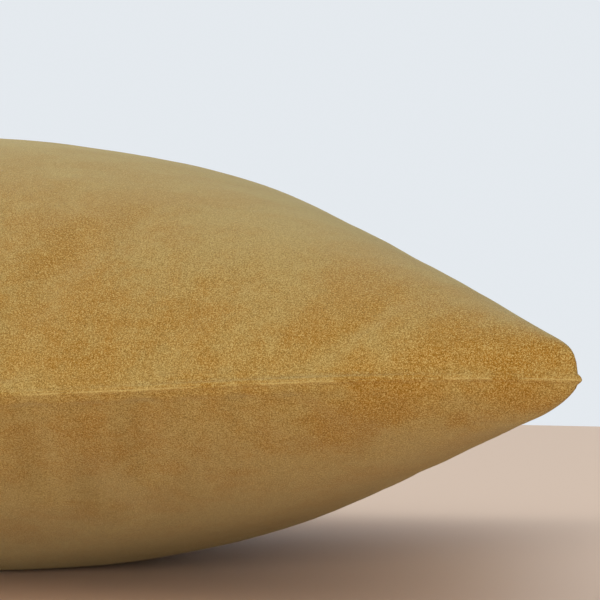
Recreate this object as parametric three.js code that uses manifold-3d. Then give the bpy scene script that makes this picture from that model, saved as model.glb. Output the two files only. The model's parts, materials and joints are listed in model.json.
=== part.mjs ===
// A square knife-edge throw pillow: a velvet cover with a concealed zip, over a fibre-filled insert.
// Millimetres, +Z up. The origin is under the middle of the pillow, on the surface that it lies on.
// The zip is in the back side (+Y). The two cover panels meet at a seam half way up the sides.

import * as THREE from "three";
import { mergeVertices } from "three/addons/utils/BufferGeometryUtils.js";
import Module from "manifold-3d";

// ---- Driving dimensions ----

const touchGap = 0.3; // between pieces that touch on the real pillow
const facetAllowance = 1.5; // a flat facet lies a little inside the round shape that it stands for
const tolerance = 1e-6; // two stations of the grid this near to each other are the same
const weldDistance = 1e-4;

const pillow = {
  halfSide: 247, // from the middle to a corner, along a side
  sideTuck: 19.5, // how far the filling draws in the middle of a side
  zipTuck: 13, // the zipped side is stiffer and is drawn in less
  seamHeight: 72, // seam above the surface that the pillow lies on
  cornerLift: 11, // a front corner stands a little above the middle of its sides
  backLift: 6, // the zip holds the back corners lower
  cornerLevel: 12, // the seam stops rising this far short of the outline
  crown: 94, // top of the pillow above the seam
  belly: 77.5, // how far the underside would hang below the seam, before the surface flattens it
  crownSteepness: 2.19, // higher is flatter on top and steeper at the sides
  bellySteepness: 1.75,
  crownCorners: 1, // higher fills the corners more
  bellyCorners: 1.8,
  fullness: 0.73, // lower is fuller near the seam
};

const velvet = {
  wall: 1.8,
  allowanceWall: 1.2,
  allowance: 12, // turned in at the seam
  lip: 2, // stretch of it that stays level beside the zip's slit
  step: 1.8, // length over which it then rises to the zip's chamber
  foldDepth: 0.5, // the two panels meet this far in from the outline
  foldRise: 1.1, // height of the roundest part of the fold
  shoulderDepth: 1.2,
  shoulderRise: 3.2, // where the fold runs out into the panel
  room: 0.8, // hollow above the turned-in edge, where the panel starts
  seamThickness: 3.5, // from the outline in to that hollow
  zipThickness: 8.5, // the same beside the zip
};

const casing = {
  wall: 0.6,
  allowanceWall: 0.6,
  allowance: 8,
  fit: 0.4, // between the casing and the velvet at the crown
  clearance: 3, // at least this far behind the cover's overlocked edges
  shoulderDepth: 0.6,
  shoulderRise: 1.9,
  room: 0.6,
  seamThickness: 3,
};

const overlock = {
  thread: 0.5,
  coverBite: 3,
  casingBite: 2,
  cornerClip: 28, // the allowances are clipped at least this far from a corner
};

const zip = {
  fromCorner: 60, // from the corner to the end of the zip
  fade: 7, // length over which the slit closes up again
  slit: 1.6, // between the two folds of velvet
  tapeWidth: 11,
  tapeThickness: 0.4,
  coilWidth: 2.2,
  coilThickness: 1.4,
  coilChamfer: 0.45,
  coilDepth: 4.6, // from the folds in to the coils
  stopLength: 3,
  tackLength: 2,
  endSpare: 1, // between the ends of the tape, its tacks and its stops
  chamberFade: 8, // higher keeps the chamber's shape closer to the zip
};

const slider = {
  length: 9,
  web: 1, // plate that runs in the slit and between the coils
  plate: 0.8, // flanges in front of the coils and behind them
  plateSpare: 0.1, // the flanges stop this much further from the tapes than a touching piece
  noseStandout: 0.6, // part of the web outside the folds
  bridgeLength: 8,
  bridgeWidth: 1.8,
  bridgeBar: 0.8,
  bridgeLeg: 1,
  bridgeRoom: 2.2, // room under the bridge for the pull's crossbar
  bridgeRoot: 0.3, // how far its legs run into the web
};

const pull = {
  length: 22,
  width: 6,
  thickness: 1,
  crossbar: 1,
  windowSpare: 0.9,
  roundShare: 0.8, // of half its width, where the end starts to round off
  roundSteps: 5,
};

// The labels' ends along the left side, as shares of half that side, and how far in they run: the
// care label from the raw edge of the seam allowance, before the layers' own inset, and the insert's
// label as shares of half the pillow.
const label = {
  thickness: 0.4,
  careFrom: 0.22,
  careTo: 0.4,
  careRuns: [-5.8, 2.8, 12.7, 22.6],
  insertFrom: -0.36,
  insertTo: -0.2,
  insertPlaces: [-0.95, -0.92, -0.88],
  rows: 4,
};

const grid = {
  edgeRow: 10, // a narrow first row of cells, where the shape is steepest
  evenShare: 0.85, // the rows from front to back are even within this share of the half side
  cornerCells: 2,
  zipCells: 8,
  rowCells: 12,
};

// ---- Values worked out from them ----

const zipHalf = pillow.halfSide - zip.fromCorner;
const zipShare = zipHalf / pillow.halfSide;
const zipFadeShare = (zipHalf + zip.fade) / pillow.halfSide;
const zipFoldY = pillow.halfSide - pillow.zipTuck;

const seamHalfGap = touchGap / 2;
const coilInnerHeight = slider.web / 2 + touchGap;
const tapeHeight = coilInnerHeight + zip.coilThickness + touchGap;
const zipChamber = tapeHeight + zip.tapeThickness + touchGap;

const coverStack = seamHalfGap + velvet.allowanceWall;
const casingStack = seamHalfGap + casing.allowanceWall;

const behindTape = zip.coilDepth + zip.tapeWidth + touchGap;
const behindOverlock = velvet.allowance + overlock.thread + casing.clearance;
const casingEdge = Math.max(behindTape, behindOverlock);
const fillEdge = casingEdge + casing.allowance + overlock.thread + 3 * touchGap;

// ---- Shape of the pillow ----

// s runs from the left side (-1) to the right side (+1), and t from the front (-1) to the back (+1).
const smooth = (x) => THREE.MathUtils.smoothstep(x, 0, 1);
const onZip = (s) => (Math.abs(s) < zipShare + tolerance ? 1 : 0);
const nearZip = (s, t) => onZip(s) * Math.max(0, t) ** zip.chamberFade;
const pastZip = (s) => smooth((Math.abs(s) - zipFadeShare) / (1 - zipFadeShare));

// How far a side is drawn in at each place along it.
const endTuck = (t) => pillow.sideTuck * (1 - t * t);
const frontTuck = (s) => pillow.sideTuck * (1 - s * s);
const backTuck = (s) => pillow.zipTuck * (1 - pastZip(s));

// A point of the plan, with the outline moved in by the given distance. The shift fades towards the
// middle, so that the layers' points lie over each other there.
function plan(s, t, inset) {
  const tuckY = t > 0 ? backTuck(s) : frontTuck(s);
  const x = s * (pillow.halfSide - endTuck(t) * Math.abs(s)) - inset * s ** 3;
  const y = t * (pillow.halfSide - tuckY * Math.abs(t)) - inset * t ** 3;
  return [x, y];
}

// Height of the seam's middle plane: level along the zip, rising to each corner. The rise is
// complete just inside the outline, so that the turned-in edges lie level beside each other.
const riseEnd = 1 - pillow.cornerLevel / pillow.halfSide;
const towardCorner = (u) => smooth(Math.abs(u) / riseEnd);
const behindZip = (s) => smooth((Math.abs(s) - zipFadeShare) / (riseEnd - zipFadeShare));

function seamPlane(s, t) {
  const rise = t > 0 ? pillow.backLift * behindZip(s) : pillow.cornerLift * towardCorner(s);
  return pillow.seamHeight + rise * towardCorner(t);
}

// The dome is 1 in the middle and 0 at the outline. Its two profiles are blended so that the height
// near a corner grows evenly with the distance from it.
function dome(s, t, steepness, corners) {
  const across = 1 - Math.abs(s) ** steepness;
  const along = 1 - Math.abs(t) ** steepness;
  return (across ** -corners + along ** -corners - 1) ** (-pillow.fullness / corners);
}

const crownDome = (s, t) => dome(s, t, pillow.crownSteepness, pillow.crownCorners);
const bellyDome = (s, t) => dome(s, t, pillow.bellySteepness, pillow.bellyCorners);

// A point on one layer of the pillow. side is +1 for the crown and -1 for the belly, base is the
// layer's height at the seam, and skin is how deep the layer lies under the velvet's face.
function layerPoint(side, s, t, inset, base, skin) {
  const [x, y] = plan(s, t, inset);
  const plane = seamPlane(s, t);
  if (side > 0) {
    const rise = pillow.crown + seamHalfGap - skin - base;
    return [x, y, plane + base + rise * crownDome(s, t)];
  }
  const drop = pillow.belly + seamHalfGap - skin - base;
  return [x, y, Math.max(plane - base - drop * bellyDome(s, t), skin)];
}

// A point beside the seam: so far in from the outline, and so far above or below the seam's plane.
function seamPoint(s, t, inset, height) {
  const [x, y] = plan(s, t, inset);
  return [x, y, seamPlane(s, t) + height];
}

// ---- Mesh building ----

// Values from one break to the next, each stretch cut into its number of equal steps.
function stations(breaks, counts) {
  const values = [breaks[0]];
  counts.forEach((count, k) => {
    for (let i = 1; i <= count; i++) values.push(breaks[k] + ((breaks[k + 1] - breaks[k]) * i) / count);
  });
  return values;
}

const edgeBand = 1 - grid.edgeRow / pillow.halfSide;
const sBreaks = [-1, -edgeBand, -zipFadeShare, -zipShare, zipShare, zipFadeShare, edgeBand, 1];
const tBreaks = [-1, -edgeBand, -grid.evenShare, grid.evenShare, edgeBand, 1];
const sSteps = stations(sBreaks, [1, grid.cornerCells, 1, grid.zipCells, 1, grid.cornerCells, 1]);
const tSteps = stations(tBreaks, [1, 1, grid.rowCells, 1, 1]);

// The outline of the grid, once round, anticlockwise seen from above.
const rim = [
  ...sSteps.slice(0, -1).map((s) => [s, -1]),
  ...tSteps.slice(0, -1).map((t) => [1, t]),
  ...sSteps.slice(1).reverse().map((s) => [s, 1]),
  ...tSteps.slice(1).reverse().map((t) => [-1, t]),
];

// Makes a closed geometry from points and triangles, and turns its faces outward.
function closedGeometry(points, triangles) {
  let volume = 0;
  const [a, b, c] = [new THREE.Vector3(), new THREE.Vector3(), new THREE.Vector3()];
  for (const [i, j, k] of triangles) {
    a.fromArray(points[i]);
    b.fromArray(points[j]);
    c.fromArray(points[k]);
    volume += a.dot(b.cross(c));
  }
  const outward = volume < 0 ? triangles.map(([i, j, k]) => [i, k, j]) : triangles;
  const geometry = new THREE.BufferGeometry();
  geometry.setAttribute("position", new THREE.Float32BufferAttribute(points.flat(), 3));
  geometry.setIndex(outward.flat());
  return geometry;
}

// A skin: a grid of outer points, loops of points round the rim, and a grid of inner points.
// With no loops and the two grids meeting at the rim it is a solid lens.
function skin(outer, loops, inner) {
  const points = [];
  const triangles = [];
  const push = (point) => points.push(point) - 1;

  function grid(place, upward) {
    const rows = tSteps.map((t) => sSteps.map((s) => push(place(s, t))));
    for (let j = 0; j + 1 < rows.length; j++) {
      for (let i = 0; i + 1 < rows[j].length; i++) {
        // Every layer is cut along the same diagonals, so that flat facets nest in each other.
        const [p, q, r, u] = [rows[j][i], rows[j][i + 1], rows[j + 1][i + 1], rows[j + 1][i]];
        const pair = upward ? [[p, q, r], [p, r, u]] : [[p, r, q], [p, u, r]];
        triangles.push(...pair);
      }
    }
    return rim.map(([s, t]) => rows[tSteps.indexOf(t)][sSteps.indexOf(s)]);
  }

  const chain = [grid(outer, true)];
  for (const loop of loops) chain.push(rim.map(([s, t]) => push(loop(s, t))));
  chain.push(grid(inner, false));
  for (let k = 0; k + 1 < chain.length; k++) {
    const [from, to] = [chain[k], chain[k + 1]];
    for (let i = 0; i < rim.length; i++) {
      const next = (i + 1) % rim.length;
      triangles.push([from[i], to[i], to[next]], [from[i], to[next], from[next]]);
    }
  }
  return closedGeometry(points, triangles);
}

// A bar with a constant section, carried from station to station by place(station, [u, v]).
function sweep(section, along, place) {
  const count = section.length;
  const points = along.flatMap((station) => section.map((corner) => place(station, corner)));
  const triangles = [];
  for (let k = 0; k + 1 < along.length; k++) {
    for (let i = 0; i < count; i++) {
      const next = (i + 1) % count;
      const [a, b] = [k * count + i, k * count + next];
      triangles.push([a, b, b + count], [a, b + count, a + count]);
    }
  }
  const cap = THREE.ShapeUtils.triangulateShape(section.map(([u, v]) => new THREE.Vector2(u, v)), []);
  const last = (along.length - 1) * count;
  const clockwise = THREE.ShapeUtils.area(section.map(([u, v]) => new THREE.Vector2(u, v))) < 0;
  for (const [i, j, k] of cap) {
    const near = clockwise ? [i, j, k] : [k, j, i];
    triangles.push(near, [...near].reverse().map((index) => index + last));
  }
  return closedGeometry(points, triangles);
}

const group = new THREE.Group();

function add(name, geometry, material, parent = group) {
  const mesh = new THREE.Mesh(geometry, material);
  mesh.name = name;
  parent.add(mesh);
  return mesh;
}

// ---- Materials ----

function finish(color, roughness, metalness) {
  return new THREE.MeshStandardMaterial({ color, roughness, metalness });
}
const cloth = (color, roughness = 0.95) => finish(color, roughness, 0);

const mustardVelvet = () => cloth(0xa67f42);
const mustardThread = () => cloth(0xa98448, 0.8);
const zipTape = () => cloth(0x9c7a45, 0.85);
const cotton = () => cloth(0xe9e6de);
const whiteThread = () => cloth(0xf2f0ea, 0.8);
const fibre = () => cloth(0xf4f3ef, 1);
const satinLabel = () => cloth(0xf0eee8, 0.5);
const nylon = () => finish(0x9c7a45, 0.45, 0);
const lacqueredZinc = () => finish(0xb08a4a, 0.35, 0.6);

// ---- Cover: two velvet panels, each with its edge turned in ----

// The turned-in edge starts as a narrow lip. Along the zip it then steps away from the seam's
// plane, which leaves a chamber for the tapes and the slider.
const lipHeight = (s, t) => (t === 1 && onZip(s) ? zip.slit / 2 : seamHalfGap);
const turnedHeight = (s, t) => (t === 1 && onZip(s) ? zipChamber : seamHalfGap);
const turnedTop = (s, t) => turnedHeight(s, t) + velvet.allowanceWall;

function coverPanel(side) {
  const zipBlend = (s, t, atSeam, atZip) => atSeam + (atZip - atSeam) * nearZip(s, t);
  const thickness = (s, t) => zipBlend(s, t, velvet.seamThickness, velvet.zipThickness);
  const outer = (s, t) => {
    const base = zipBlend(s, t, seamHalfGap, zip.slit / 2) + velvet.shoulderRise;
    return layerPoint(side, s, t, velvet.shoulderDepth, base, 0);
  };
  const inner = (s, t) => {
    const base = zipBlend(s, t, coverStack, zipChamber + velvet.allowanceWall) + velvet.room;
    return layerPoint(side, s, t, thickness(s, t), base, velvet.wall);
  };
  const loops = [
    (s, t) => seamPoint(s, t, 0, side * (lipHeight(s, t) + velvet.foldRise)),
    (s, t) => seamPoint(s, t, velvet.foldDepth, side * lipHeight(s, t)),
    (s, t) => seamPoint(s, t, velvet.lip, side * lipHeight(s, t)),
    (s, t) => seamPoint(s, t, velvet.lip + velvet.step, side * turnedHeight(s, t)),
    (s, t) => seamPoint(s, t, velvet.allowance, side * turnedHeight(s, t)),
    (s, t) => seamPoint(s, t, velvet.allowance, side * turnedTop(s, t)),
    (s, t) => seamPoint(s, t, thickness(s, t), side * turnedTop(s, t)),
  ];
  return skin(outer, loops, inner);
}

add("cover_top_panel", coverPanel(1), mustardVelvet());
add("cover_bottom_panel", coverPanel(-1), mustardVelvet());

// ---- Overlocked edges: thread wrapped round the two raw edges of a seam ----

// A U-shaped section, open towards the seam, as [distance in from the outline, height].
function overlockSection(edge, stack, bite) {
  const inside = stack + touchGap;
  const outside = inside + overlock.thread;
  const web = edge + touchGap;
  return [
    [edge - bite, inside],
    [web, inside],
    [web, -inside],
    [edge - bite, -inside],
    [edge - bite, -outside],
    [web + overlock.thread, -outside],
    [web + overlock.thread, outside],
    [edge - bite, outside],
  ];
}

const sides = {
  front: (along) => [along, -1],
  back: (along) => [along, 1],
  left: (along) => [-1, along],
  right: (along) => [1, along],
};

function overlockAlong(side, section, along) {
  const place = (station, [inset, height]) => seamPoint(...sides[side](station), inset, height);
  return sweep(section, along, place);
}

// The panels' own stations between two values, so that the thread bends where the cloth does.
const between = (steps, from, to) => steps.filter((v) => v > from - tolerance && v < to + tolerance);

// The share of a side over which the hollow above an overlocked edge is high enough for it. Nearer
// the corners the allowances are clipped short, so that they lie flat.
function clearShare(edge, stack, bite, room, innerInset, skinDepth) {
  const depth = (edge - bite - innerInset) / pillow.halfSide;
  const height = touchGap + overlock.thread + touchGap - room;
  const shares = [
    [pillow.crown, pillow.crownSteepness, pillow.crownCorners],
    [pillow.belly, pillow.bellySteepness, pillow.bellyCorners],
  ].map(([full, steepness, corners]) => {
    const across = 1 - (1 - depth) ** steepness;
    const needed = (facetAllowance * height) / (full - skinDepth - stack);
    const along = needed ** (-corners / pillow.fullness) - across ** -corners + 1;
    return (1 - along ** (-1 / corners)) ** (1 / steepness);
  });
  return Math.min(...shares, 1 - overlock.cornerClip / pillow.halfSide);
}

const coverSection = overlockSection(velvet.allowance, coverStack, overlock.coverBite);
const casingSection = overlockSection(casingEdge + casing.allowance, casingStack, overlock.casingBite);
const sideSteps = { front: sSteps, back: sSteps, left: tSteps, right: tSteps };

const coverEnd = clearShare(
  velvet.allowance,
  coverStack,
  overlock.coverBite,
  velvet.room,
  velvet.seamThickness,
  velvet.wall,
);

for (const side of ["front", "left", "right"]) {
  const along = between(sideSteps[side], -coverEnd, coverEnd);
  add(`overlock_${side}`, overlockAlong(side, coverSection, along), mustardThread());
}
const besideZip = between(sSteps, zipFadeShare, coverEnd);
const besideZipLeft = besideZip.map((s) => -s).reverse();
add("overlock_back_left", overlockAlong("back", coverSection, besideZipLeft), mustardThread());
add("overlock_back_right", overlockAlong("back", coverSection, besideZip), mustardThread());

// ---- Insert: two cotton panels, sewn and overlocked, with a fibre filling ----

const casingSkin = velvet.wall + casing.fit;
const fillSkin = casingSkin + casing.wall + touchGap;

function casingPanel(side) {
  const shoulder = seamHalfGap + casing.shoulderRise;
  const start = casingEdge + casing.seamThickness;
  const turned = casingEdge + casing.allowance;
  const outer = (s, t) => layerPoint(side, s, t, casingEdge + casing.shoulderDepth, shoulder, casingSkin);
  const lining = casingSkin + casing.wall;
  const inner = (s, t) => layerPoint(side, s, t, start, casingStack + casing.room, lining);
  const loops = [
    (s, t) => seamPoint(s, t, casingEdge, side * seamHalfGap),
    (s, t) => seamPoint(s, t, turned, side * seamHalfGap),
    (s, t) => seamPoint(s, t, turned, side * casingStack),
    (s, t) => seamPoint(s, t, start, side * casingStack),
  ];
  return skin(outer, loops, inner);
}

add("insert_casing_top", casingPanel(1), cotton());
add("insert_casing_bottom", casingPanel(-1), cotton());
const casingEnd = clearShare(
  casingEdge + casing.allowance,
  casingStack,
  overlock.casingBite,
  casing.room,
  casingEdge + casing.seamThickness,
  casingSkin + casing.wall,
);
for (const side of ["front", "back", "left", "right"]) {
  const along = between(sideSteps[side], -casingEnd, casingEnd);
  add(`insert_overlock_${side}`, overlockAlong(side, casingSection, along), whiteThread());
}

const fillTop = (s, t) => layerPoint(1, s, t, fillEdge, 0, fillSkin);
const fillBottom = (s, t) => layerPoint(-1, s, t, fillEdge, 0, fillSkin);
add("insert_fill", skin(fillTop, [], fillBottom), fibre());

// ---- Labels: blank strips of satin, caught in the left seams ----

// A label is given as columns, each a function of t that gives a point of its middle layer. Its two
// faces lie half the thickness to either side, square to the way that it runs in from the seam.
function labelSheet(columns, from, to) {
  const rows = stations([from, to], [label.rows]);
  const last = columns.length - 1;
  const section = [...columns.map((_, k) => [k, 1]), ...columns.map((_, k) => [last - k, -1])];
  return sweep(section, rows, (t, [k, face]) => {
    const [x, y, z] = columns[k](t);
    const before = columns[Math.max(k - 1, 0)](t);
    const after = columns[Math.min(k + 1, last)](t);
    const [runX, runZ] = [after[0] - before[0], after[2] - before[2]];
    const offset = (face * label.thickness) / 2 / Math.hypot(runX, runZ);
    return [x - runZ * offset, y, z + runX * offset];
  });
}

// Half way between the velvet and the insert's casing, in the space that is open near the seam.
function midGap(side, s, t) {
  const outside = layerPoint(side, s, t, velvet.seamThickness, coverStack + velvet.room, velvet.wall);
  const inside = layerPoint(side, s, t, casingEdge, seamHalfGap + casing.shoulderRise, casingSkin);
  return outside.map((value, i) => (value + inside[i]) / 2);
}

const overlockTop = coverStack + touchGap + overlock.thread;
const careHeight = overlockTop + touchGap + label.thickness / 2;
const careColumns = [
  (t) => seamPoint(-1, t, velvet.allowance - overlock.coverBite, careHeight),
  (t) => seamPoint(-1, t, velvet.allowance + touchGap + overlock.thread, careHeight),
  ...label.careRuns.map((run) => (t) => midGap(1, (velvet.allowance + run) / pillow.halfSide - 1, t)),
];
add("care_label", labelSheet(careColumns, label.careFrom, label.careTo), satinLabel());

const insertLabelDrop = seamHalfGap + casing.shoulderRise + touchGap + label.thickness / 2;
const insertLabelColumns = [
  (t) => seamPoint(-1, t, casingEdge + casing.shoulderDepth, -insertLabelDrop),
  ...label.insertPlaces.map((s) => (t) => midGap(-1, s, t)),
];
add("insert_label", labelSheet(insertLabelColumns, label.insertFrom, label.insertTo), satinLabel());

// ---- Zip ----

// Zip pieces are drawn in section, as [distance in from the folds, height above the seam's plane],
// and run along X between two places.
function alongZip(section, from, to) {
  const shape = new THREE.Shape(section.map(([depth, height]) => new THREE.Vector2(depth, height)));
  const geometry = new THREE.ExtrudeGeometry(shape, { depth: to - from, bevelEnabled: false });
  const inward = new THREE.Vector3(0, -1, 0);
  const up = new THREE.Vector3(0, 0, 1);
  const run = new THREE.Vector3(-1, 0, 0);
  const placed = new THREE.Matrix4().makeBasis(inward, up, run);
  placed.setPosition(to, zipFoldY, pillow.seamHeight);
  return geometry.applyMatrix4(placed);
}

const rectangle = (depth0, depth1, height0, height1) => [
  [depth0, height0],
  [depth1, height0],
  [depth1, height1],
  [depth0, height1],
];

// A rectangle with its four corners cut off.
function chamfered(depth0, depth1, height0, height1, cut) {
  return [
    [depth0 + cut, height0],
    [depth1 - cut, height0],
    [depth1, height0 + cut],
    [depth1, height1 - cut],
    [depth1 - cut, height1],
    [depth0 + cut, height1],
    [depth0, height1 - cut],
    [depth0, height0 + cut],
  ];
}

const coilBack = zip.coilDepth + zip.coilWidth;
const coilOuterHeight = coilInnerHeight + zip.coilThickness;
const tapeBack = zip.coilDepth + zip.tapeWidth;
const [chamberHalf] = plan(zipShare, 1, casingEdge);
const tapeHalf = chamberHalf - zip.endSpare;
const tackOuter = tapeHalf - zip.endSpare;
const tackInner = tackOuter - zip.tackLength;
const stopOuter = tackInner - zip.endSpare;
const stopInner = stopOuter - zip.stopLength;
const coilHalf = stopInner - touchGap;

const levels = { upper: 1, lower: -1 };
for (const [level, side] of Object.entries(levels)) {
  const heights = (low, high) => [side * low, side * high].sort((a, b) => a - b);
  const [tapeLow, tapeHigh] = heights(tapeHeight, tapeHeight + zip.tapeThickness);
  const [coilLow, coilHigh] = heights(coilInnerHeight, coilOuterHeight);
  const tapeSection = rectangle(zip.coilDepth, tapeBack, tapeLow, tapeHigh);
  const coilSection = chamfered(zip.coilDepth, coilBack, coilLow, coilHigh, zip.coilChamfer);
  add(`zip_tape_${level}`, alongZip(tapeSection, -tapeHalf, tapeHalf), zipTape());
  add(`zip_coil_${level}`, alongZip(coilSection, -coilHalf, coilHalf), nylon());
  const stopSection = rectangle(zip.coilDepth, coilBack, coilLow, coilHigh);
  add(`zip_top_stop_${level}`, alongZip(stopSection, -stopOuter, -stopInner), lacqueredZinc());
}

const acrossCoils = rectangle(zip.coilDepth, coilBack, -coilOuterHeight, coilOuterHeight);
add("zip_bottom_stop", alongZip(acrossCoils, stopInner, stopOuter), lacqueredZinc());
add("zip_end_tack_left", alongZip(acrossCoils, -tackOuter, -tackInner), mustardThread());
add("zip_end_tack_right", alongZip(acrossCoils, tackInner, tackOuter), mustardThread());

// ---- Slider: an I-shaped body that runs on the coils, with a bridge outside the folds ----

const wasm = await Module();
wasm.setup();

function toManifold(geometry) {
  const bare = geometry.clone();
  bare.deleteAttribute("normal");
  bare.deleteAttribute("uv");
  const merged = mergeVertices(bare, weldDistance);
  return new wasm.Manifold(
    new wasm.Mesh({
      numProp: 3,
      vertProperties: merged.attributes.position.array,
      triVerts: new Uint32Array(merged.index.array),
    }),
  );
}

function toGeometry(solid) {
  const mesh = solid.getMesh();
  const geometry = new THREE.BufferGeometry();
  geometry.setAttribute("position", new THREE.BufferAttribute(mesh.vertProperties, 3));
  geometry.setIndex(new THREE.BufferAttribute(mesh.triVerts, 1));
  return geometry;
}

const sliderStart = -coilHalf + touchGap;
const sliderMiddle = sliderStart + slider.length / 2;
const flangeBack = zip.coilDepth - touchGap;
const flangeFront = flangeBack - slider.plate;
const backFront = coilBack + touchGap;
const backBack = backFront + slider.plate;
const flangeHalf = tapeHeight - touchGap - slider.plateSpare;
const webHalf = slider.web / 2;
const nose = -slider.noseStandout;

const halfSection = [
  [nose, webHalf],
  [flangeFront, webHalf],
  [flangeFront, flangeHalf],
  [flangeBack, flangeHalf],
  [flangeBack, webHalf],
  [backFront, webHalf],
  [backFront, flangeHalf],
  [backBack, flangeHalf],
];
const mirrored = [...halfSection].reverse().map(([depth, height]) => [depth, -height]);
const sliderBody = alongZip([...halfSection, ...mirrored], sliderStart, sliderStart + slider.length);

// The bridge is drawn from above, as [along the zip, distance out from the folds].
const bridgeHalf = slider.bridgeLength / 2;
const bridgeInside = bridgeHalf - slider.bridgeLeg;
const roomTop = slider.noseStandout + slider.bridgeRoom;
const bridgeTop = roomTop + slider.bridgeBar;
const bridgeFoot = slider.noseStandout - slider.bridgeRoot;
const bridgeShape = new THREE.Shape(
  [
    [-bridgeHalf, bridgeFoot],
    [-bridgeInside, bridgeFoot],
    [-bridgeInside, roomTop],
    [bridgeInside, roomTop],
    [bridgeInside, bridgeFoot],
    [bridgeHalf, bridgeFoot],
    [bridgeHalf, bridgeTop],
    [-bridgeHalf, bridgeTop],
  ].map(([x, y]) => new THREE.Vector2(x, y)),
);
const bridge = new THREE.ExtrudeGeometry(bridgeShape, { depth: slider.bridgeWidth, bevelEnabled: false });
bridge.translate(sliderMiddle, zipFoldY, pillow.seamHeight - slider.bridgeWidth / 2);
add("zip_slider", toGeometry(toManifold(sliderBody).add(toManifold(bridge))), lacqueredZinc());

// ---- Pull: a flat tab with a window, whose crossbar turns under the bridge ----

const pullAxis = [sliderMiddle, zipFoldY + slider.noseStandout + slider.bridgeRoom / 2];
const crossHalf = pull.crossbar / 2;
const windowHalf = slider.bridgeWidth / 2 + touchGap;
const windowEnd = bridgeHalf + pull.windowSpare;
const tabHalf = pull.width / 2;
const tabRound = tabHalf * pull.roundShare;

const tab = new THREE.Shape();
tab.moveTo(-crossHalf, -tabHalf);
tab.lineTo(pull.length - tabRound, -tabHalf);
tab.quadraticCurveTo(pull.length, -tabHalf, pull.length, 0);
tab.quadraticCurveTo(pull.length, tabHalf, pull.length - tabRound, tabHalf);
tab.lineTo(-crossHalf, tabHalf);
tab.closePath();
const tabWindow = new THREE.Path();
tabWindow.moveTo(crossHalf, -windowHalf);
tabWindow.lineTo(crossHalf, windowHalf);
tabWindow.lineTo(windowEnd, windowHalf);
tabWindow.lineTo(windowEnd, -windowHalf);
tabWindow.closePath();
tab.holes.push(tabWindow);

const tabGeometry = new THREE.ExtrudeGeometry(tab, {
  depth: pull.thickness,
  bevelEnabled: false,
  curveSegments: pull.roundSteps,
});
tabGeometry.translate(0, 0, -pull.thickness / 2);
const tabMesh = add("zip_pull", tabGeometry, lacqueredZinc());
tabMesh.rotation.x = Math.PI / 2;
tabMesh.position.set(pullAxis[0], pullAxis[1], pillow.seamHeight);

export default group;
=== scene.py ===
# %% [markdown]
# # A mustard velvet throw pillow
# A throw pillow is two things in one: a velvet cover with a concealed zip in its back side, and
# inside it an insert, which is a plain cotton bag stuffed with fibre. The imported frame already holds
# every piece at its right size and place. This script gives each of them its finished surface.
#
# The first cell loads the frame. Everything after it is in metres, with Z up, and the middle of the
# pillow stands on the origin.

# %% Load the frame
import json
import math

import bmesh
import bpy
import numpy as np
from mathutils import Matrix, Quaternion, Vector, noise


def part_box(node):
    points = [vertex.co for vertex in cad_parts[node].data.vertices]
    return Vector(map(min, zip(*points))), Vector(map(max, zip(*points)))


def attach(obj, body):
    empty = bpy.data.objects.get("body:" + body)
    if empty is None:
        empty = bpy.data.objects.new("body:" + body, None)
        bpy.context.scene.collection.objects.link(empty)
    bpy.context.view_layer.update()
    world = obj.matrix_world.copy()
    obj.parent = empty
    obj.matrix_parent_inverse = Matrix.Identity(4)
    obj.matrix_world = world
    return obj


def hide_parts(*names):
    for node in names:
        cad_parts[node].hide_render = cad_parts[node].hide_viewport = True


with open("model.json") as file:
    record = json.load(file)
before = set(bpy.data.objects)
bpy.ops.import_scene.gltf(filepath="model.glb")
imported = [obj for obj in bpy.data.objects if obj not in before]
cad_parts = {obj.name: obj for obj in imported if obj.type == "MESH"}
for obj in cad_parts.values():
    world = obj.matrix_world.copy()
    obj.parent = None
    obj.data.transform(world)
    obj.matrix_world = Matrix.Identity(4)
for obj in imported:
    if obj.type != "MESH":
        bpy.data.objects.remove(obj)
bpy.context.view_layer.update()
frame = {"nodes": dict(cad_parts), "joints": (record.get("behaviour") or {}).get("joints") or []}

MM = 0.001

# %% [markdown]
# ## The size of the pillow
# The main sizes are read from the frame's boxes, so that the velvet lies where the frame's plain
# panels lie. The seam's height is the height of the pull's hinge, because the zip lies in the seam.
# The cover's lower box ends just under the raised front corners, which gives their lift.

# %% Sizes read from the frame
_, top_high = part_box("cover_top_panel")
_, bottom_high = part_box("cover_bottom_panel")
hinge = next(joint for joint in frame["joints"] if joint["name"] == "pull_swing")
TOUCH = 0.3 * MM
HALF = top_high.x
SEAM_Z = hinge["pos_m"][2]
CROWN = top_high.z - SEAM_Z - TOUCH / 2
BELLY = 77.5 * MM
FRONT_LIFT = bottom_high.z - SEAM_Z + TOUCH / 2
BACK_LIFT = 6 * MM
SIDE_TUCK = 19.5 * MM
ZIP_TUCK = 13 * MM
CROWN_POWER = 2.19
BELLY_POWER = 1.75
CROWN_CORNERS = 1.0
BELLY_CORNERS = 1.8
FULLNESS = 0.73
CORNER_LEVEL = 12 * MM
ZIP_HALF = HALF - 60 * MM
ZIP_FADE = 7 * MM
ZIP_SHARE = ZIP_HALF / HALF
FADE_SHARE = (ZIP_HALF + ZIP_FADE) / HALF
RISE_END = 1 - CORNER_LEVEL / HALF
print(f"corner to corner {2 * HALF:.3f} m, seam {SEAM_Z:.3f} m up, top {top_high.z:.3f} m up")

# %% [markdown]
# ## The pillow's shape as a formula
# A filled pillow is a smooth crowned form. Each place on it is named by two numbers from -1 to 1: s
# runs from left to right, and t from front to back. The filling draws the middle of each side in, so
# the corners stand out as soft points, and it lifts the front corners a little. The dome is high over
# most of the pillow and falls away steeply near the seam. One formula serves every layer, from the
# velvet to the filling, so the layers lie inside each other like the real ones.

# %% Shape functions
def smooth(x):
    x = np.clip(x, 0, 1)
    return x * x * (3 - 2 * x)


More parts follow.
